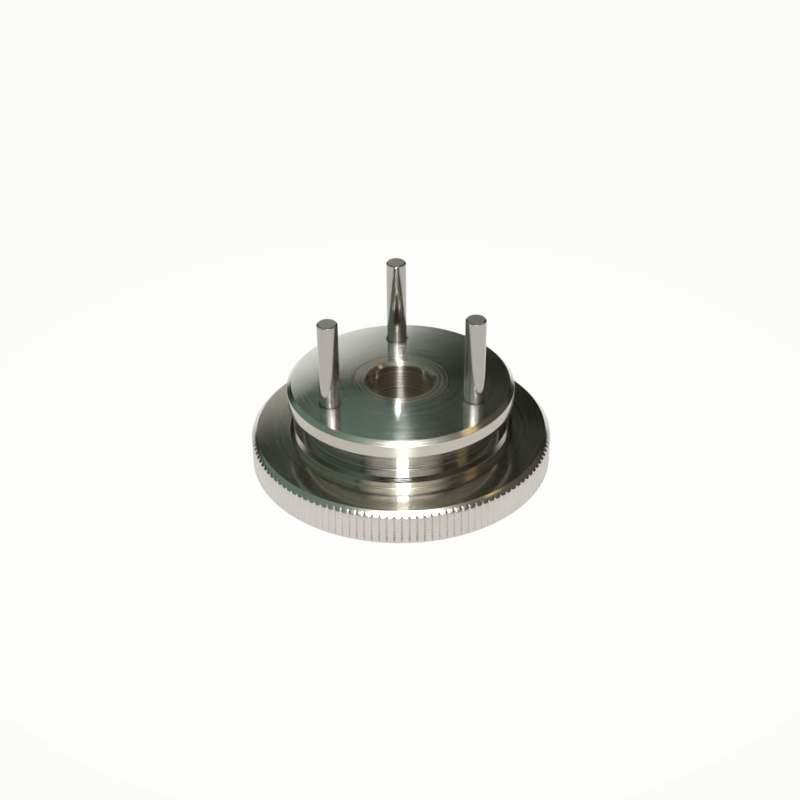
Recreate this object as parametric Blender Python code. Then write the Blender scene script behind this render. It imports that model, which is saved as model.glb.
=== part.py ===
"""Three-pin clutch flywheel of a small model engine, as four solids.

One turned aluminium body holds everything: a disc with a straight-knurled rim, and on it a grooved
hub whose flange carries three hardened steel pins. The pins are pressed into holes that run right
through the body. The crankshaft's split cone seats in the tapered bore from below, and the clutch
nut clamps down on the ring that is faced round the bore's mouth at the top.

The axis is +Z. The back face lies at z = 0 and the pins point up.
"""

from math import cos, radians, sin, tau

import bmesh
import bpy

MM = 0.001

# Disc and its straight-knurled rim
RIM_RADIUS = 17.0 * MM
DISC_HEIGHT = 4.05 * MM
RIM_TOP_CHAMFER = 0.6 * MM
RIM_BOTTOM_CHAMFER = 0.3 * MM
KNURL_TEETH = 130
KNURL_DEPTH = 0.25 * MM
KNURL_CREST_SHARE = 0.30  # of one tooth's pitch, flat at the top of the tooth
KNURL_ROOT_SHARE = 0.24  # of one tooth's pitch, flat at the bottom of the groove

# Hub: a low collar, a groove down to the neck, and the flange that carries the pins
COLLAR_RADIUS = 12.5 * MM
COLLAR_TOP = 5.4 * MM
COLLAR_EDGE = 0.15 * MM
NECK_RADIUS = 11.0 * MM
FLANGE_RADIUS = 12.75 * MM
FLANGE_BOTTOM = 8.15 * MM
FLANGE_TOP = 10.1 * MM
FLANGE_LOWER_EDGE = 0.1 * MM
FLANGE_TOP_CHAMFER = 0.5 * MM

# Bore, the faced ring round its mouth, and the seat of the split cone at the back
BORE_RADIUS = 3.65 * MM
BORE_CHAMFER = 0.35 * MM
NUT_RING_RADIUS = 5.3 * MM
NUT_RING_DEPTH = 0.08 * MM
CONE_SEAT_RADIUS = 5.0 * MM
CONE_SEAT_DEPTH = 4.5 * MM

# Shallow relief of the back face, so that the disc sits on its rim and on a ring round the seat
RELIEF_INNER_RADIUS = 6.6 * MM
RELIEF_OUTER_RADIUS = 14.6 * MM
RELIEF_DEPTH = 0.4 * MM

# Pins, as azimuths about the axis
PIN_AZIMUTHS = {"back": 92.3, "left": 212.3, "right": 332.3}
PIN_CIRCLE_RADIUS = 9.1 * MM
PIN_RADIUS = 1.125 * MM
PIN_HEIGHT = 10.0 * MM  # above the flange
PIN_END_CHAMFER = 0.15 * MM
PIN_RECESS = 0.3 * MM  # of the lower end, inside the relief
PIN_CLEARANCE = 0.03 * MM
HOLE_COUNTERSINK = 0.15 * MM
CUTTER_OVERRUN = 0.3 * MM

# Vertices round a ring. Each count divides the next, so that neighbouring rings stitch together
HUB_SEGMENTS = KNURL_TEETH // 2
RIM_SEGMENTS = KNURL_TEETH
PIN_SEGMENTS = 32


def remove_everything():
    for obj in list(bpy.data.objects):
        bpy.data.objects.remove(obj, do_unlink=True)


def metal(name, colour, roughness):
    material = bpy.data.materials.new(name)
    material.use_nodes = True
    shader = material.node_tree.nodes["Principled BSDF"]
    shader.inputs["Base Color"].default_value = (*colour, 1.0)
    shader.inputs["Metallic"].default_value = 1.0
    shader.inputs["Roughness"].default_value = roughness
    return material


def round_ring(bm, radius, height, segments):
    """A circle of vertices about the Z axis."""
    return [
        bm.verts.new((radius * cos(tau * i / segments), radius * sin(tau * i / segments), height))
        for i in range(segments)
    ]


def knurl_ring(bm, height_at):
    """A ring that follows the knurl: for each tooth the two ends of its crest, then of its groove.

    height_at(radius) places each vertex on the chamfer that cuts the teeth off."""
    half_crest = KNURL_CREST_SHARE / 2
    half_root = KNURL_ROOT_SHARE / 2
    root_radius = RIM_RADIUS - KNURL_DEPTH
    corners = (
        (half_crest, RIM_RADIUS),
        (0.5 - half_root, root_radius),
        (0.5 + half_root, root_radius),
        (1.0 - half_crest, RIM_RADIUS),
    )
    ring = []
    for tooth in range(KNURL_TEETH):
        for share, radius in corners:
            angle = tau * (tooth + share) / KNURL_TEETH
            ring.append(bm.verts.new((radius * cos(angle), radius * sin(angle), height_at(radius))))
    return ring


def stitch(bm, first, second):
    """Faces between two rings, whose vertex counts are equal or one a multiple of the other."""
    coarse, fine = sorted((first, second), key=len)
    ratio = len(fine) // len(coarse)
    for i, corner in enumerate(coarse):
        following = coarse[(i + 1) % len(coarse)]
        run = [fine[(i * ratio + step) % len(fine)] for step in range(ratio + 1)]
        bm.faces.new([following, corner, *run])


def finish_mesh(bm, name, material):
    """Turns the closed bmesh into a named object, smooth except at its turned edges."""
    bmesh.ops.recalc_face_normals(bm, faces=bm.faces)
    mesh = bpy.data.meshes.new(name)
    bm.to_mesh(mesh)
    bm.free()
    mesh.materials.append(material)
    mesh.shade_smooth()
    mesh.set_sharp_from_angle(angle=radians(20))
    obj = bpy.data.objects.new(name, mesh)
    bpy.context.scene.collection.objects.link(obj)
    return obj


def turned_solid(name, profile, segments, material):
    """A solid of revolution from (radius, height) steps, closed by a flat cap at each end."""
    bm = bmesh.new()
    rings = [round_ring(bm, radius, height, segments) for radius, height in profile]
    for first, second in zip(rings, rings[1:]):
        stitch(bm, first, second)
    bm.faces.new(rings[0])
    bm.faces.new(rings[-1])
    return finish_mesh(bm, name, material)


def back_face_rings(bm):
    steps = (
        (CONE_SEAT_RADIUS, 0.0),
        (RELIEF_INNER_RADIUS, 0.0),
        (RELIEF_INNER_RADIUS + RELIEF_DEPTH, RELIEF_DEPTH),
        (RELIEF_OUTER_RADIUS - RELIEF_DEPTH, RELIEF_DEPTH),
        (RELIEF_OUTER_RADIUS, 0.0),
    )
    return [round_ring(bm, radius, height, HUB_SEGMENTS) for radius, height in steps]


def rim_rings(bm):
    """The knurled wall, between the two chamfers that cut its teeth off."""

    def bottom_chamfer(radius):
        return RIM_BOTTOM_CHAMFER - (RIM_RADIUS - radius)

    def top_chamfer(radius):
        return DISC_HEIGHT - RIM_TOP_CHAMFER + (RIM_RADIUS - radius)

    return [
        round_ring(bm, RIM_RADIUS - RIM_BOTTOM_CHAMFER, 0.0, RIM_SEGMENTS),
        knurl_ring(bm, bottom_chamfer),
        knurl_ring(bm, top_chamfer),
        round_ring(bm, RIM_RADIUS - RIM_TOP_CHAMFER, DISC_HEIGHT, RIM_SEGMENTS),
    ]


def hub_rings(bm):
    steps = (
        (COLLAR_RADIUS, DISC_HEIGHT),
        (COLLAR_RADIUS, COLLAR_TOP - COLLAR_EDGE),
        (COLLAR_RADIUS - COLLAR_EDGE, COLLAR_TOP),
        (NECK_RADIUS, COLLAR_TOP),
        (NECK_RADIUS, FLANGE_BOTTOM),
        (FLANGE_RADIUS - FLANGE_LOWER_EDGE, FLANGE_BOTTOM),
        (FLANGE_RADIUS, FLANGE_BOTTOM + FLANGE_LOWER_EDGE),
        (FLANGE_RADIUS, FLANGE_TOP - FLANGE_TOP_CHAMFER),
        (FLANGE_RADIUS - FLANGE_TOP_CHAMFER, FLANGE_TOP),
    )
    return [round_ring(bm, radius, height, HUB_SEGMENTS) for radius, height in steps]


def bore_rings(bm):
    nut_face = FLANGE_TOP - NUT_RING_DEPTH
    steps = (
        (NUT_RING_RADIUS, FLANGE_TOP),
        (NUT_RING_RADIUS, nut_face),
        (BORE_RADIUS + BORE_CHAMFER, nut_face),
        (BORE_RADIUS, nut_face - BORE_CHAMFER),
        (BORE_RADIUS, CONE_SEAT_DEPTH),
    )
    return [round_ring(bm, radius, height, HUB_SEGMENTS) for radius, height in steps]


def flywheel_body(material):
    """The turned body. Its rings run out under the disc, up the rim and the hub, and down the bore."""
    bm = bmesh.new()
    rings = back_face_rings(bm) + rim_rings(bm) + hub_rings(bm) + bore_rings(bm)
    for first, second in zip(rings, rings[1:] + rings[:1]):
        stitch(bm, first, second)
    return finish_mesh(bm, "flywheel_body", material)


def pin_place(azimuth):
    angle = radians(azimuth)
    return (PIN_CIRCLE_RADIUS * cos(angle), PIN_CIRCLE_RADIUS * sin(angle), 0.0)


def pin_hole(body, side, azimuth, material):
    """Drills one through hole, countersunk at the flange."""
    radius = PIN_RADIUS + PIN_CLEARANCE
    profile = (
        (radius, -CUTTER_OVERRUN),
        (radius, FLANGE_TOP - HOLE_COUNTERSINK),
        (radius + HOLE_COUNTERSINK + CUTTER_OVERRUN, FLANGE_TOP + CUTTER_OVERRUN),
    )
    cutter = turned_solid("cutter_pin_hole_" + side, profile, PIN_SEGMENTS, material)
    cutter.location = pin_place(azimuth)
    cutter.hide_render = True
    cutter.display_type = "WIRE"
    drill = body.modifiers.new("pin hole " + side, "BOOLEAN")
    drill.operation = "DIFFERENCE"
    drill.solver = "EXACT"
    drill.object = cutter


def clutch_pin(side, azimuth, material):
    """One pin, chamfered at both ends. Its shank fills the hole and its upper part stands free."""
    low = RELIEF_DEPTH + PIN_RECESS
    high = FLANGE_TOP + PIN_HEIGHT
    profile = (
        (PIN_RADIUS - PIN_END_CHAMFER, low),
        (PIN_RADIUS, low + PIN_END_CHAMFER),
        (PIN_RADIUS, high - PIN_END_CHAMFER),
        (PIN_RADIUS - PIN_END_CHAMFER, high),
    )
    pin = turned_solid("clutch_pin_" + side, profile, PIN_SEGMENTS, material)
    pin.location = pin_place(azimuth)


def build():
    remove_everything()
    aluminium = metal("turned aluminium", (0.80, 0.80, 0.78), 0.22)
    steel = metal("hardened steel", (0.62, 0.60, 0.57), 0.28)
    body = flywheel_body(aluminium)
    for side, azimuth in PIN_AZIMUTHS.items():
        pin_hole(body, side, azimuth, aluminium)
        clutch_pin(side, azimuth, steel)


build()
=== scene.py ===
"""Looks of the three-pin clutch flywheel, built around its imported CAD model.

Every CAD node is replaced by a fine mesh of the same size: the turned body with its rounded edges,
its knurl and its drilled holes, and the three ground pins. The rest of the script makes their
metals, the white table, the dark room that the metal mirrors, the lights and the camera.
"""

import random
from math import cos, pi, radians, sin, tau

import bmesh
import bpy
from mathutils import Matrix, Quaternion, Vector


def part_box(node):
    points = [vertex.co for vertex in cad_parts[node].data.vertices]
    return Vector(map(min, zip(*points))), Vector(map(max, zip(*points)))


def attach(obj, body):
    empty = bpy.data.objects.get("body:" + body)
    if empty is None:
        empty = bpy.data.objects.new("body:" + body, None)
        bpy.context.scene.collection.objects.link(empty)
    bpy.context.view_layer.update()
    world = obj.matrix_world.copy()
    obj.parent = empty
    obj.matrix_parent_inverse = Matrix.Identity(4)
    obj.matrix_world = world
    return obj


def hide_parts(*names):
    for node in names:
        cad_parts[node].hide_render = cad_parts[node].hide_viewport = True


MM = 0.001

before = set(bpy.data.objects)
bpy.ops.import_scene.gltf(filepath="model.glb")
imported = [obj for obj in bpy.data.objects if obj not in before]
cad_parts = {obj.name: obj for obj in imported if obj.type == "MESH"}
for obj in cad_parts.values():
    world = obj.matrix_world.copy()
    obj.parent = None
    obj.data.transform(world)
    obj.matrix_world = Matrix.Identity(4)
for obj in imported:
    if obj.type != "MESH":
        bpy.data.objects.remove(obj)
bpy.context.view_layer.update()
body_low, body_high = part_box("flywheel_body")

# Disc and knurl. The outer sizes come from the frame
RIM_RADIUS = body_high.x
FLANGE_TOP = body_high.z
DISC_HEIGHT = 4.05 * MM
RIM_TOP_CHAMFER = 0.6 * MM
RIM_BOTTOM_CHAMFER = 0.3 * MM
KNURL_TEETH = 130
KNURL_DEPTH = 0.20 * MM
KNURL_DEPTH_SPREAD = 0.08  # share by which single grooves are shallower
KNURL_SEED = 130
KNURL_GROOVE_SHARE = 0.46  # of one tooth's pitch
KNURL_EDGE = 0.03 * MM  # half the height of the bevel between the teeth and the chamfers
TOOTH_STEPS = 12  # vertices along one tooth's pitch

# Hub
COLLAR_RADIUS = 12.5 * MM
COLLAR_TOP = 5.4 * MM
COLLAR_TAPER = 0.30 * MM  # by which the collar's radius is less at its top
COLLAR_TAPER_HEIGHT = 0.60 * MM
NECK_RADIUS = 11.0 * MM
FLANGE_RADIUS = 12.75 * MM
FLANGE_BOTTOM = 8.15 * MM
FLANGE_LOWER_EDGE = 0.10 * MM
FLANGE_TOP_CHAMFER = 0.5 * MM

# Bore and back face
BORE_RADIUS = 3.65 * MM
BORE_CHAMFER = 0.35 * MM
NUT_RING_RADIUS = 5.3 * MM
NUT_RING_DEPTH = 0.04 * MM
CONE_SEAT_RADIUS = 5.0 * MM
CONE_SEAT_DEPTH = 4.5 * MM
RELIEF_INNER_RADIUS = 6.6 * MM
RELIEF_OUTER_RADIUS = 14.6 * MM
RELIEF_DEPTH = 0.4 * MM

# Radii left on the turned edges, and in the corners by the nose of the tool
EDGE_ROUND = 0.05 * MM
NUT_RING_ROUND = EDGE_ROUND / 4
CORNER_ROUND = 0.18 * MM
ARC_STEPS = 4
SUPPORT = 0.02 * MM  # from a round to the ring that keeps the flat beside it flat
EDGE_MARGIN = EDGE_ROUND * 3  # from an edge to where the next part of the outline takes over

# Pins and their holes
PIN_SIDES = ("back", "left", "right")
PIN_FINISHES = ("shank", "end")
PIN_END_CHAMFER = 0.15 * MM
PIN_END_ROUND = 0.04 * MM
HOLE_CLEARANCE = 0.03 * MM
HOLE_COUNTERSINK = 0.15 * MM
CUTTER_OVERRUN = 0.3 * MM

# Vertices round a ring. Each of the first three counts divides the next
HUB_SEGMENTS = 260
FACE_SEGMENTS = 520
RIM_SEGMENTS = KNURL_TEETH * TOOTH_STEPS
PIN_SEGMENTS = 96
SHARP_FROM = 35.0  # degrees between two faces whose edge stays sharp

# Zones of the body, each with its own metal. Their roughness is that of the finish. The lighter faced
# and edge zones are painted light, and the darker shoulder is painted shade.
BODY_FINISHES_AND_PAINTED_LIGHT = ("turned", "faced", "knurled", "groove", "edge", "shoulder")


# ---------------------------------------------------------------- turned meshes


def outline(corners):
    """Points of a turned outline from (radius, height, round) corners, open at both ends.

    A corner whose round is zero stays a point. Any other becomes an arc, with a support point just
    before and after it."""
    points = []
    for i, (radius, height, fillet) in enumerate(corners):
        here = Vector((radius, height))
        if fillet == 0.0:
            points.append(here)
            continue
        before = Vector(corners[i - 1][:2]) - here
        after = Vector(corners[(i + 1) % len(corners)][:2]) - here
        half_turn = (pi - before.angle(after)) / 2
        reach = fillet * sin(half_turn) / cos(half_turn)
        start = here + before.normalized() * reach
        end = here + after.normalized() * reach
        middle = (before.normalized() + after.normalized()).normalized()
        centre = here + middle * (fillet / cos(half_turn))
        points.append(start + before.normalized() * SUPPORT)
        turn = 2 * half_turn
        for step in range(ARC_STEPS + 1):
            share = step / ARC_STEPS
            spoke = (start - centre) * sin((1 - share) * turn) + (end - centre) * sin(share * turn)
            points.append(centre + spoke / sin(turn))
        points.append(end + after.normalized() * SUPPORT)
    return points


def round_ring(bm, radius, height, segments):
    return [
        bm.verts.new((radius * cos(tau * i / segments), radius * sin(tau * i / segments), height))
        for i in range(segments)
    ]


def rings_along(bm, points, segments):
    return [round_ring(bm, point.x, point.y, segments) for point in points]


def stitch(bm, first, second):
    """Faces between two rings, whose vertex counts are equal or one a multiple of the other."""
    coarse, fine = sorted((first, second), key=len)
    ratio = len(fine) // len(coarse)
    for i, corner in enumerate(coarse):
        following = coarse[(i + 1) % len(coarse)]
        run = [fine[(i * ratio + step) % len(fine)] for step in range(ratio + 1)]
        bm.faces.new([following, corner, *run])


def finished(bm, name, materials):
    bmesh.ops.recalc_face_normals(bm, faces=bm.faces)
    mesh = bpy.data.meshes.new(name)
    bm.to_mesh(mesh)
    bm.free()
    for material in materials:
        mesh.materials.append(material)
    mesh.shade_smooth()
    obj = bpy.data.objects.new(name, mesh)
    bpy.context.scene.collection.objects.link(obj)
    return obj


def turned_solid(name, points, segments, materials):
    """A solid of revolution that a flat cap closes at each end."""
    bm = bmesh.new()
    rings = rings_along(bm, points, segments)
    for first, second in zip(rings, rings[1:]):
        stitch(bm, first, second)
    bm.faces.new(rings[0])
    bm.faces.new(rings[-1])
    return finished(bm, name, materials)


# ---------------------------------------------------------------- flywheel body


def tooth_cuts():
    """How deep the knurl cuts at each vertex round the rim: a vee between two flat crests."""
    chance = random.Random(KNURL_SEED)
    half_groove = KNURL_GROOVE_SHARE / 2
    cuts = []
    for _ in range(KNURL_TEETH):
        depth = KNURL_DEPTH * (1 - KNURL_DEPTH_SPREAD * chance.random())
        for step in range(TOOTH_STEPS):
            from_root = abs(step / TOOTH_STEPS - 0.5)
            cuts.append(depth * max(0.0, 1 - from_root / half_groove))
    return cuts


def knurl_ring(bm, cuts, inset, height_at):
    """One ring of the knurl: inset from the tooth's surface, at the height that suits each cut."""
    ring = []
    for i, cut in enumerate(cuts):
        angle = tau * i / len(cuts)
        radius = RIM_RADIUS - cut - inset
        ring.append(bm.verts.new((radius * cos(angle), radius * sin(angle), height_at(cut))))
    return ring


def back_points():
    """The back face, from the mouth of the cone seat out to the rim's lower chamfer."""
    corners = (
        (CONE_SEAT_RADIUS + EDGE_MARGIN, 0.0, 0.0),
        (RELIEF_INNER_RADIUS, 0.0, EDGE_ROUND),
        (RELIEF_INNER_RADIUS + RELIEF_DEPTH, RELIEF_DEPTH, CORNER_ROUND),
        (RELIEF_OUTER_RADIUS - RELIEF_DEPTH, RELIEF_DEPTH, CORNER_ROUND),
        (RELIEF_OUTER_RADIUS, 0.0, EDGE_ROUND),
        (RIM_RADIUS - RIM_BOTTOM_CHAMFER - EDGE_MARGIN, 0.0, 0.0),
    )
    return outline(corners)


def rim_rings(bm):
    """The knurled wall. Each groove runs out into the chamfers, so their edges are scalloped."""
    cuts = tooth_cuts()
    low = RIM_BOTTOM_CHAMFER
    high = DISC_HEIGHT - RIM_TOP_CHAMFER
    chamfer_end = RIM_RADIUS - RIM_TOP_CHAMFER
    top_edge = outline(
        (
            (chamfer_end + EDGE_MARGIN, DISC_HEIGHT - EDGE_MARGIN, 0.0),
            (chamfer_end, DISC_HEIGHT, EDGE_ROUND),
            (chamfer_end - EDGE_MARGIN, DISC_HEIGHT, 0.0),
        )
    )
    return [
        round_ring(bm, RIM_RADIUS - RIM_BOTTOM_CHAMFER, 0.0, RIM_SEGMENTS),
        knurl_ring(bm, cuts, KNURL_EDGE, lambda cut: low - cut - KNURL_EDGE),
        knurl_ring(bm, cuts, 0.0, lambda cut: low - cut + KNURL_EDGE),
        knurl_ring(bm, cuts, 0.0, lambda cut: high + cut - KNURL_EDGE),
        knurl_ring(bm, cuts, KNURL_EDGE, lambda cut: high + cut + KNURL_EDGE),
        *rings_along(bm, top_edge, RIM_SEGMENTS),
        round_ring(bm, chamfer_end - EDGE_MARGIN * 2, DISC_HEIGHT, FACE_SEGMENTS),
    ]


def hub_points():
    """From the disc's face up the collar, the groove and the flange to the top face."""
    corners = (
        (RIM_RADIUS - RIM_TOP_CHAMFER - EDGE_MARGIN * 3, DISC_HEIGHT, 0.0),
        (COLLAR_RADIUS, DISC_HEIGHT, CORNER_ROUND),
        (COLLAR_RADIUS, COLLAR_TOP - COLLAR_TAPER_HEIGHT, CORNER_ROUND),
        (COLLAR_RADIUS - COLLAR_TAPER, COLLAR_TOP, EDGE_ROUND),
        (NECK_RADIUS, COLLAR_TOP, CORNER_ROUND),
        (NECK_RADIUS, FLANGE_BOTTOM, CORNER_ROUND),
        (FLANGE_RADIUS - FLANGE_LOWER_EDGE, FLANGE_BOTTOM, EDGE_ROUND),
        (FLANGE_RADIUS, FLANGE_BOTTOM + FLANGE_LOWER_EDGE, EDGE_ROUND),
        (FLANGE_RADIUS, FLANGE_TOP - FLANGE_TOP_CHAMFER, EDGE_ROUND),
        (FLANGE_RADIUS - FLANGE_TOP_CHAMFER, FLANGE_TOP, EDGE_ROUND),
        (NUT_RING_RADIUS + EDGE_MARGIN, FLANGE_TOP, 0.0),
    )
    return outline(corners)


def bore_points():
    """The ring round the bore's mouth, the bore and the cone seat at the back.

    The first and the last corner are the hub's and the back face's. They steer the rounds beside
    them and are left out."""
    nut_face = FLANGE_TOP - NUT_RING_DEPTH
    corners = (
        (NUT_RING_RADIUS + EDGE_MARGIN, FLANGE_TOP, 0.0),
        (NUT_RING_RADIUS + NUT_RING_DEPTH / 2, FLANGE_TOP, NUT_RING_ROUND),
        (NUT_RING_RADIUS - NUT_RING_DEPTH / 2, nut_face, NUT_RING_ROUND),
        (BORE_RADIUS + BORE_CHAMFER, nut_face, EDGE_ROUND),
        (BORE_RADIUS, nut_face - BORE_CHAMFER, EDGE_ROUND),
        (BORE_RADIUS, CONE_SEAT_DEPTH, EDGE_ROUND),
        (CONE_SEAT_RADIUS, 0.0, EDGE_ROUND),
        (CONE_SEAT_RADIUS + EDGE_MARGIN, 0.0, 0.0),
    )
    return outline(corners)[1:-1]


def pin_size(side):
    """A pin's centre, its radius and half of its length, from the frame."""
    low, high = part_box("clutch_pin_" + side)
    return (low + high) / 2, (high.x - low.x) / 2, (high.z - low.z) / 2


def hole_cutter(side):
    centre, pin_radius, _ = pin_size(side)
    radius = pin_radius + HOLE_CLEARANCE
    points = [
        Vector((radius, -CUTTER_OVERRUN)),
        Vector((radius, FLANGE_TOP - HOLE_COUNTERSINK)),
        Vector((radius + HOLE_COUNTERSINK + CUTTER_OVERRUN, FLANGE_TOP + CUTTER_OVERRUN)),
    ]
    cutter = turned_solid("cutter_" + side, points, PIN_SEGMENTS, [])
    cutter.location = (centre.x, centre.y, 0.0)
    return cutter


def drill(obj):
    """Cuts the pins' holes into the object's mesh."""
    cutters = [hole_cutter(side) for side in PIN_SIDES]
    for cutter in cutters:
        hole = obj.modifiers.new(cutter.name, "BOOLEAN")
        hole.object = cutter
    bpy.context.view_layer.update()
    graph = bpy.context.evaluated_depsgraph_get()
    drilled = bpy.data.meshes.new_from_object(obj.evaluated_get(graph))
    obj.modifiers.clear()
    obj.data = drilled
    for cutter in cutters:
        bpy.data.objects.remove(cutter, do_unlink=True)


def finish_of(place):
    """Which of BODY_FINISHES_AND_PAINTED_LIGHT the body's surface has at a place."""
    radius = place.to_2d().length
    if radius > RIM_RADIUS - RIM_TOP_CHAMFER:
        return "edge" if place.z > DISC_HEIGHT - RIM_TOP_CHAMFER else "knurled"
    if radius < NUT_RING_RADIUS + NUT_RING_DEPTH:
        return "turned"
    if place.z > FLANGE_TOP - EDGE_ROUND / 2:
        return "faced"
    if place.z > FLANGE_TOP - FLANGE_TOP_CHAMFER:
        return "edge"
    if COLLAR_TOP + EDGE_ROUND < place.z < FLANGE_BOTTOM + EDGE_ROUND:
        return "groove"
    if COLLAR_TOP - COLLAR_TAPER_HEIGHT < place.z < COLLAR_TOP + EDGE_ROUND:
        return "shoulder"
    return "turned"


def flywheel_body(materials):
    """The turned body. Its rings run out under the disc, up the rim and the hub, and down the bore."""
    bm = bmesh.new()
    rings = rings_along(bm, back_points(), HUB_SEGMENTS)
    rings.append(
        round_ring(bm, RIM_RADIUS - RIM_BOTTOM_CHAMFER - EDGE_ROUND * 2, 0.0, FACE_SEGMENTS)
    )
    rings += rim_rings(bm)
    rings += rings_along(bm, hub_points() + bore_points(), HUB_SEGMENTS)
    for first, second in zip(rings, rings[1:] + rings[:1]):
        stitch(bm, first, second)
    body = finished(bm, "turned_flywheel", materials)
    drill(body)
    body.data.shade_smooth()
    body.data.set_sharp_from_angle(angle=radians(SHARP_FROM))
    for face in body.data.polygons:
        face.material_index = BODY_FINISHES_AND_PAINTED_LIGHT.index(finish_of(face.center))
    return body


# ---------------------------------------------------------------- pins


def ground_pin(side, materials):
    """One pin, chamfered at both ends, in its place."""
    centre, radius, half = pin_size(side)
    corners = (
        (radius - PIN_END_CHAMFER * 2, -half, 0.0),
        (radius - PIN_END_CHAMFER, -half, PIN_END_ROUND),
        (radius, PIN_END_CHAMFER - half, PIN_END_ROUND),
        (radius, half - PIN_END_CHAMFER, PIN_END_ROUND),
        (radius - PIN_END_CHAMFER, half, PIN_END_ROUND),
        (radius - PIN_END_CHAMFER * 2, half, 0.0),
    )
    pin = turned_solid("ground_pin_" + side, outline(corners), PIN_SEGMENTS, materials)
    pin.location = centre
    for face in pin.data.polygons:
        at_end = abs(face.center.z) > half - PIN_END_ROUND / 4
        face.material_index = PIN_FINISHES.index("end" if at_end else "shank")
    return pin


# ---------------------------------------------------------------- materials

# The lay of a metal's scratches, as turns of its highlights
ROUND = 0.25
ALONG = 0.0

# Blotches, and the bands that a change of feed leaves, on every metal
BLOTCH_SIZE = 6.25 * MM
BAND_PITCH = 2.0 * MM
BAND_SHARE = 1.5  # height of a band, against that of a tool mark
TORN_BLUR = 0.03  # half the range over which a ring turns from polished to torn
MARK_STRENGTH = 0.5  # of the bump that the marks and bands make


class Nodes:
    """Short names for building one node tree."""

    def __init__(self, tree):
        self.tree = tree

    def add(self, kind, **settings):
        node = self.tree.nodes.new(kind)
        for key, value in settings.items():
            setattr(node, key, value)
        return node

    def plug(self, source, node, name):
        if isinstance(source, bpy.types.NodeSocket):
            self.tree.links.new(source, node.inputs[name])
        else:
            node.inputs[name].default_value = source

    def math(self, operation, a, b=0.0, c=0.0):
        node = self.add("ShaderNodeMath", operation=operation)
        for index, value in enumerate((a, b, c)):
            self.plug(value, node, index)
        return node.outputs[0]

    def product(self, first, *others):
        for other in others:
            first = self.math("MULTIPLY", first, other)
        return first

    def span(self, value, low, high, to_low=0.0, to_high=1.0):
        """Maps low..high to to_low..to_high and holds the end values outside. low may be the higher."""
        node = self.add("ShaderNodeMapRange")
        for name, each in (
            ("Value", value),
            ("From Min", low),
            ("From Max", high),
            ("To Min", to_low),
            ("To Max", to_high),
        ):
            self.plug(each, node, name)
        return node.outputs[0]

    def noise(self, vector, scale, detail=2.0, roughness=0.5):
        node = self.add("ShaderNodeTexNoise")
        self.plug(vector, node, "Vector")
        self.plug(scale, node, "Scale")
        self.plug(detail, node, "Detail")
        self.plug(roughness, node, "Roughness")
        return node.outputs["Fac"]

    def blend(self, factor, first, second, kind="MIX"):
        """A mix of two colours, which are sockets 6 and 7 of a Mix node, with the result in 2."""
        node = self.add("ShaderNodeMix", data_type="RGBA", blend_type=kind)
        self.plug(factor, node, 0)
        self.plug(first, node, 6)
        self.plug(second, node, 7)
        return node.outputs[2]


def opaque(colour):
    return (*colour, 1.0)


def grey(value):
    return (value, value, value, 1.0)


def turned_metal(
    name, colour, stain, polish, torn, torn_from, anisotropy, ring_pitch, ring_depth, lay=ROUND
):
    """Bare metal off the lathe: fine rings about the Z axis, some polished and some torn.

    stain is the colour of its blotches. polish and torn are the roughness of the two sorts of ring.
    The higher torn_from, from 0 to 1, the fewer rings are torn. ring_pitch and ring_depth are those
    of the tool's marks, in metres. lay says whether the scratches that spread a reflection run round
    the axis or along it."""
    material = bpy.data.materials.new(name)
    material.use_nodes = True
    nodes = Nodes(material.node_tree)
    shader = material.node_tree.nodes["Principled BSDF"]

    place = nodes.add("ShaderNodeTexCoord").outputs["Object"]
    parts = nodes.add("ShaderNodeSeparateXYZ")
    nodes.plug(place, parts, 0)
    across = nodes.math("POWER", parts.outputs["X"], 2.0)
    across = nodes.math("MULTIPLY_ADD", parts.outputs["Y"], parts.outputs["Y"], across)
    radius = nodes.math("SQRT", across)
    along = nodes.add("ShaderNodeCombineXYZ")
    nodes.plug(radius, along, "X")
    nodes.plug(parts.outputs["Z"], along, "Y")
    marks = nodes.noise(along.outputs[0], 1.0 / ring_pitch, detail=3.0, roughness=0.6)
    bands = nodes.noise(along.outputs[0], 1.0 / BAND_PITCH)
    blotches = nodes.noise(place, 1.0 / BLOTCH_SIZE, detail=3.0, roughness=0.55)

    gloss = nodes.product(
        nodes.span(marks, torn_from - TORN_BLUR, torn_from + TORN_BLUR, polish, torn),
        nodes.span(blotches, 0.3, 0.7, 0.92, 1.08),
        nodes.span(bands, 0.3, 0.7, 0.93, 1.07),
    )
    nodes.plug(gloss, shader, "Roughness")

    tint = nodes.blend(nodes.span(blotches, 0.45, 0.8), opaque(colour), opaque(stain))
    ring_tone = nodes.blend(nodes.span(marks, 0.35, 0.65), grey(0.96), grey(1.0))
    nodes.plug(nodes.blend(1.0, tint, ring_tone, "MULTIPLY"), shader, "Base Color")

    relief = nodes.math("MULTIPLY_ADD", bands, BAND_SHARE, marks)
    bump = nodes.add("ShaderNodeBump")
    nodes.plug(relief, bump, "Height")
    nodes.plug(MARK_STRENGTH, bump, "Strength")
    nodes.plug(ring_depth, bump, "Distance")
    nodes.plug(bump.outputs["Normal"], shader, "Normal")

    shader.inputs["Metallic"].default_value = 1.0
    shader.inputs["Anisotropic"].default_value = anisotropy
    shader.inputs["Anisotropic Rotation"].default_value = lay
    around = nodes.add("ShaderNodeTangent", direction_type="RADIAL", axis="Z")
    nodes.plug(around.outputs[0], shader, "Tangent")
    return material


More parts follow.
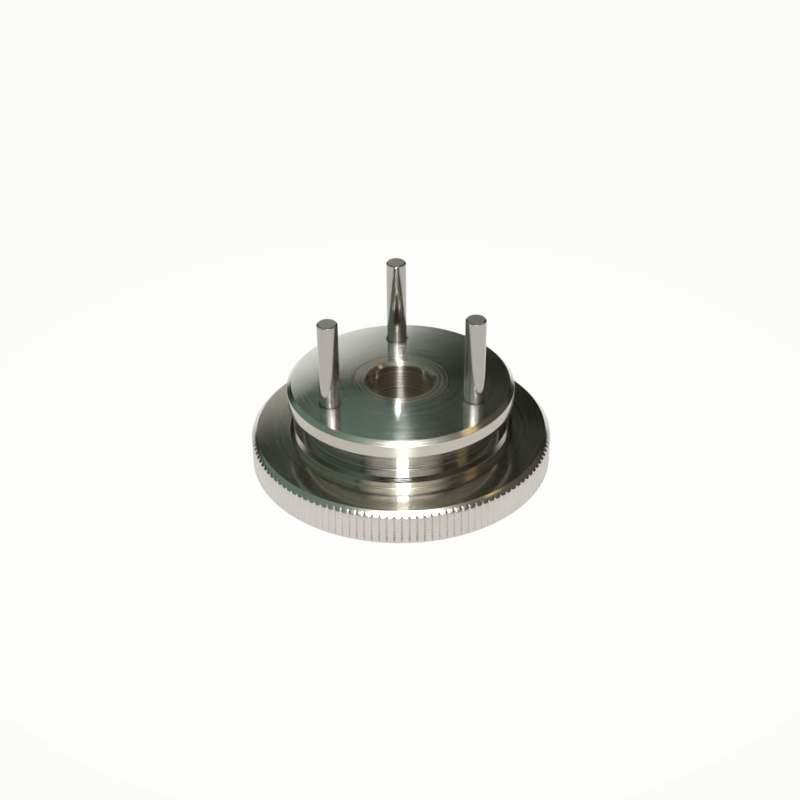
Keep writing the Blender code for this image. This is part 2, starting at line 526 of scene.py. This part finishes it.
def body_metals():
    """The flywheel's aluminium, in the order of BODY_FINISHES_AND_PAINTED_LIGHT. Its base colours hold
    painted light and shade: lighter on the faced top and the edges, darker on the shoulder.
    """
    turned = turned_metal(
        "turned aluminium",
        colour=(0.60, 0.56, 0.485),
        stain=(0.56, 0.52, 0.445),
        polish=0.075,
        torn=0.42,
        torn_from=0.555,
        anisotropy=1.0,
        ring_pitch=0.006 * MM,
        ring_depth=0.00005 * MM,
    )
    faced = turned_metal(
        "faced aluminium",
        # painted light: a lighter base colour than the turned walls brightens the faced top's
        # reflections
        colour=(0.80, 0.80, 0.77),
        stain=(0.74, 0.74, 0.68),
        polish=0.055,
        torn=0.48,
        torn_from=0.58,
        anisotropy=1.0,
        ring_pitch=0.004 * MM,
        ring_depth=0.00002 * MM,
    )
    knurled = turned_metal(
        "knurled aluminium",
        colour=(0.63, 0.59, 0.55),
        stain=(0.58, 0.54, 0.50),
        polish=0.24,
        torn=0.34,
        torn_from=0.50,
        anisotropy=0.0,
        ring_pitch=0.20 * MM,
        ring_depth=0.0001 * MM,
    )
    groove = turned_metal(
        "groove aluminium",
        colour=(0.57, 0.55, 0.505),
        stain=(0.49, 0.475, 0.43),
        polish=0.10,
        torn=0.36,
        torn_from=0.58,
        anisotropy=1.0,
        ring_pitch=0.02 * MM,
        ring_depth=0.0001 * MM,
    )
    edge = turned_metal(
        "edge aluminium",
        # painted highlight: a lighter base colour than the turned walls keeps the chamfers bright all
        # round
        colour=(0.72, 0.69, 0.64),
        stain=(0.66, 0.63, 0.58),
        polish=0.15,
        torn=0.20,
        torn_from=0.50,
        anisotropy=0.0,
        ring_pitch=0.10 * MM,
        ring_depth=0.0002 * MM,
    )
    shoulder = turned_metal(
        "shoulder aluminium",
        # painted shade: a darker base colour than the turned walls makes the collar's tapered shoulder
        # a dark band
        colour=(0.45, 0.43, 0.39),
        stain=(0.40, 0.38, 0.34),
        polish=0.07,
        torn=0.40,
        torn_from=0.60,
        anisotropy=1.0,
        ring_pitch=0.01 * MM,
        ring_depth=0.00005 * MM,
    )
    return [turned, faced, knurled, groove, edge, shoulder]


def pin_steels():
    """The ground steel of the pins' shanks and that of their cut ends, in the order of PIN_FINISHES."""
    shank = turned_metal(
        "ground steel",
        colour=(0.45, 0.415, 0.39),
        stain=(0.40, 0.365, 0.34),
        polish=0.13,
        torn=0.24,
        torn_from=0.62,
        anisotropy=1.0,
        ring_pitch=0.02 * MM,
        ring_depth=0.00005 * MM,
        lay=ALONG,
    )
    end = turned_metal(
        "cut steel",
        colour=(0.45, 0.42, 0.39),
        stain=(0.40, 0.37, 0.34),
        polish=0.34,
        torn=0.42,
        torn_from=0.50,
        anisotropy=0.0,
        ring_pitch=0.10 * MM,
        ring_depth=0.0005 * MM,
    )
    return [shank, end]


# ---------------------------------------------------------------- stage

FLOOR_RADIUS = 0.055
FLOOR_GAP = 0.02 * MM
FLOOR_SEGMENTS = 96
SHADE_REACH = (0.88, 0.98)  # shares of the rim's radius, between which the painted shade under the flywheel gives way to the table's full glow
BACKDROP_RADIUS = 1.0
BACKDROP_SEGMENTS = 64
HALO_FLAT = 0.2  # share of the halo's width, either way, before it starts to vanish at its ends
HALO_CORE = 0.3  # the same across its height

# Glow of the table and of everything beyond it, and of the painted shade under the flywheel
PALE = (0.97, 0.968, 0.960)
SHADE_GLOW = (0.12, 0.095, 0.07)
BLACK = (0.0, 0.0, 0.0)
TABLE_ALBEDO = (0.005, 0.005, 0.005)

# Tones of the dark room
ROOM_TONE = (0.008, 0.009, 0.003)
CEILING_TONE = (0.20, 0.34, 0.28)
LEFT_WALL_TONE = (0.16, 0.24, 0.185)
RIGHT_WALL_TONE = (0.095, 0.088, 0.068)
LEFT_BOUNCE_TONE = (0.30, 0.42, 0.34)
RIGHT_BOUNCE_TONE = (0.42, 0.40, 0.36)
CURTAIN_TONE = (0.095, 0.155, 0.120)
SCREEN_TONE = (1.35, 1.35, 1.30)
SCREEN_TILT = 0.45  # by which the screen's upper edge drops towards the right


def plain_material(name, albedo, glow):
    material = bpy.data.materials.new(name)
    material.use_nodes = True
    shader = material.node_tree.nodes["Principled BSDF"]
    shader.inputs["Base Color"].default_value = opaque(albedo)
    shader.inputs["Roughness"].default_value = 0.9
    shader.inputs["Specular IOR Level"].default_value = 0.1
    shader.inputs["Emission Color"].default_value = opaque(glow)
    shader.inputs["Emission Strength"].default_value = 1.0
    return material


def white_table():
    """A pale light table with painted shade under the flywheel and its bore, where its glow drops to a
    dim brown.
    """
    bm = bmesh.new()
    bmesh.ops.create_circle(bm, cap_ends=True, segments=FLOOR_SEGMENTS, radius=FLOOR_RADIUS)
    material = plain_material("white table", TABLE_ALBEDO, PALE)
    nodes = Nodes(material.node_tree)
    place = nodes.add("ShaderNodeTexCoord").outputs["Object"]
    distance = nodes.add("ShaderNodeVectorMath", operation="LENGTH")
    nodes.plug(place, distance, 0)
    shade_end, full_glow = (RIM_RADIUS * share for share in SHADE_REACH)
    open_table = nodes.span(distance.outputs["Value"], shade_end, full_glow)
    # painted shade: the table's glow turns dim brown under the flywheel
    glow = nodes.blend(open_table, opaque(SHADE_GLOW), opaque(PALE))
    nodes.plug(glow, material.node_tree.nodes["Principled BSDF"], "Emission Color")
    floor = finished(bm, "floor", [material])
    floor.location.z = body_low.z - FLOOR_GAP


def backdrop():
    """A pale shell behind everything. Only the camera sees it: the metal mirrors the dark room."""
    bm = bmesh.new()
    bmesh.ops.create_uvsphere(
        bm, u_segments=BACKDROP_SEGMENTS, v_segments=BACKDROP_SEGMENTS // 2, radius=BACKDROP_RADIUS
    )
    shell = finished(bm, "backdrop", [plain_material("pale backdrop", BLACK, PALE)])
    shell.visible_diffuse = False
    shell.visible_glossy = False
    shell.visible_transmission = False
    shell.visible_shadow = False


def dark_room():
    """The surroundings that the polished faces mirror.

    A dark olive room, green-grey overhead and more so on the left, with paler walls at the sides, a
    pale screen low behind the flywheel, a dim curtain above it, and a soft glow high up in front.
    Below the horizon the white table goes on. right, back and up are the parts of a unit vector, so
    each patch has its edges where one of them passes from the first value of a span to the second."""
    world = bpy.data.worlds.new("dark room")
    bpy.context.scene.world = world
    world.use_nodes = True
    nodes = Nodes(world.node_tree)
    sky = world.node_tree.nodes["Background"]
    direction = nodes.add("ShaderNodeTexCoord").outputs["Generated"]
    parts = nodes.add("ShaderNodeSeparateXYZ")
    nodes.plug(direction, parts, 0)
    right, back, up = parts.outputs

    ceiling = nodes.product(nodes.span(up, 0.62, 0.97), nodes.span(right, -0.6, 0.4, 1.0, 0.35))
    colour = nodes.blend(ceiling, opaque(ROOM_TONE), opaque(CEILING_TONE))

    walls = nodes.product(
        nodes.span(nodes.math("ABSOLUTE", right), 0.3, 0.6),
        nodes.span(back, 0.72, 0.55),
        nodes.span(up, 0.15, 0.26, 0.2, 1.0),
    )
    wall_tone = nodes.blend(
        nodes.span(right, -0.3, 0.3), opaque(LEFT_WALL_TONE), opaque(RIGHT_WALL_TONE)
    )
    colour = nodes.blend(walls, colour, wall_tone)

    bounce = nodes.product(nodes.span(up, 0.64, 0.77), nodes.span(back, 0.0, -0.5))
    bounce_tone = nodes.blend(
        nodes.span(right, -0.45, 0.1), opaque(LEFT_BOUNCE_TONE), opaque(RIGHT_BOUNCE_TONE)
    )
    colour = nodes.blend(bounce, colour, bounce_tone)

    curtain = nodes.product(
        nodes.span(up, 0.515, 0.555),
        nodes.span(up, 0.85, 0.65),
        nodes.span(right, -0.09, -0.065),
        nodes.span(right, -0.01, 0.03, 1.0, 0.15),
        nodes.span(right, 0.07, 0.10, 1.0, 0.0),
        nodes.span(back, 0.2, 0.4),
    )
    colour = nodes.blend(curtain, colour, opaque(CURTAIN_TONE))

    screen = nodes.product(
        nodes.span(nodes.math("MULTIPLY_ADD", right, SCREEN_TILT, up), 0.506, 0.474),
        nodes.span(right, 0.26, 0.18),
        nodes.span(right, -0.26, -0.18),
        nodes.span(back, 0.5, 0.6),
        nodes.span(up, 0.30, 0.40),
    )
    colour = nodes.blend(screen, colour, opaque(SCREEN_TONE))

    ground = nodes.span(up, -0.02, -0.10)
    colour = nodes.blend(ground, colour, opaque(PALE))
    nodes.plug(colour, sky, "Color")
    sky.inputs["Strength"].default_value = 1.0


def face_hub(obj, azimuth, elevation, distance):
    """Places a light so that it faces the hub. Azimuth runs from +X, as in the frame."""
    turn, rise = radians(azimuth), radians(elevation)
    ray = Vector((cos(rise) * cos(turn), cos(rise) * sin(turn), sin(rise)))
    obj.location = Vector((0.0, 0.0, FLANGE_TOP / 2)) + ray * distance
    obj.rotation_mode = "QUATERNION"
    obj.rotation_quaternion = (-ray).to_track_quat("-Z", "Y")


def softbox(name, azimuth, elevation, distance, width, height, watts, colour):
    light = bpy.data.lights.new(name, "AREA")
    light.shape = "RECTANGLE"
    light.size = width
    light.size_y = height
    light.energy = watts
    light.color = colour
    lamp = bpy.data.objects.new(name, light)
    bpy.context.scene.collection.objects.link(lamp)
    face_hub(lamp, azimuth, elevation, distance)


def glow_panel(azimuth, elevation, distance, width, height, fade, radiance, colour):
    """The halo round the flash: a bright strip that fades out to both sides.

    fade is the distance, in metres, over which its light drops to about a third."""
    bm = bmesh.new()
    corners = ((-1, -1), (1, -1), (1, 1), (-1, 1))
    bm.faces.new([bm.verts.new((x * width / 2, y * height / 2, 0.0)) for x, y in corners])
    material = plain_material("flash halo", BLACK, colour)
    nodes = Nodes(material.node_tree)
    parts = nodes.add("ShaderNodeSeparateXYZ")
    nodes.plug(nodes.add("ShaderNodeTexCoord").outputs["Object"], parts, 0)
    aside = nodes.math("ABSOLUTE", parts.outputs["X"])
    across = nodes.math("ABSOLUTE", parts.outputs["Y"])
    strength = nodes.product(
        nodes.math("EXPONENT", nodes.math("MULTIPLY", aside, -1.0 / fade)),
        nodes.span(aside, width / 2, width * HALO_FLAT),
        nodes.span(across, height / 2, height * HALO_CORE),
        radiance,
    )
    nodes.plug(strength, material.node_tree.nodes["Principled BSDF"], "Emission Strength")
    panel = finished(bm, "flash_halo", [material])
    panel.visible_camera = False
    panel.visible_shadow = False
    face_hub(panel, azimuth, elevation, distance)


# ---------------------------------------------------------------- camera

CAMERA_PLACE = Vector((0.0, -135.9 * MM, 94.45 * MM))
CAMERA_AIM = Vector((-0.08 * MM, 0.0, 7.32 * MM))
CAMERA_ROLL = 0.574  # degrees
CAMERA_LENS = 64.32  # millimetres, as Blender's cameras have it
SENSOR_WIDTH = 36.0


def camera():
    lens = bpy.data.cameras.new("camera")
    lens.lens = CAMERA_LENS
    lens.sensor_width = SENSOR_WIDTH
    lens.clip_start = 1 * MM
    lens.clip_end = 2 * BACKDROP_RADIUS
    eye = bpy.data.objects.new("camera", lens)
    bpy.context.scene.collection.objects.link(eye)
    eye.location = CAMERA_PLACE
    level = (CAMERA_AIM - CAMERA_PLACE).to_track_quat("-Z", "Y")
    eye.rotation_mode = "QUATERNION"
    eye.rotation_quaternion = level @ Quaternion((0.0, 0.0, 1.0), -radians(CAMERA_ROLL))
    bpy.context.scene.camera = eye


# ---------------------------------------------------------------- assembly


def build_object():
    body = flywheel_body(body_metals())
    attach(body, "root")
    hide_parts("flywheel_body")
    pin_metals = pin_steels()
    for side in PIN_SIDES:
        pin = ground_pin(side, pin_metals)
        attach(pin, "root")
        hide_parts("clutch_pin_" + side)


def build_stage():
    white_table()
    backdrop()
    dark_room()
    softbox(
        "flash",
        azimuth=-88.5,
        elevation=39.0,
        distance=0.175,
        width=0.030,
        height=0.020,
        watts=0.60,
        colour=(0.93, 0.98, 1.0),
    )
    glow_panel(
        azimuth=-87.0,
        elevation=43.0,
        distance=0.19,
        width=0.32,
        height=0.047,
        fade=0.058,
        radiance=10.0,
        colour=(1.0, 0.99, 0.97),
    )
    softbox(
        "warm lamp",
        azimuth=-12.0,
        elevation=41.0,
        distance=0.50,
        width=0.10,
        height=0.10,
        watts=0.030,
        colour=(1.0, 0.72, 0.35),
    )
    bpy.context.scene.view_settings.view_transform = "Standard"
    camera()


build_object()
build_stage()
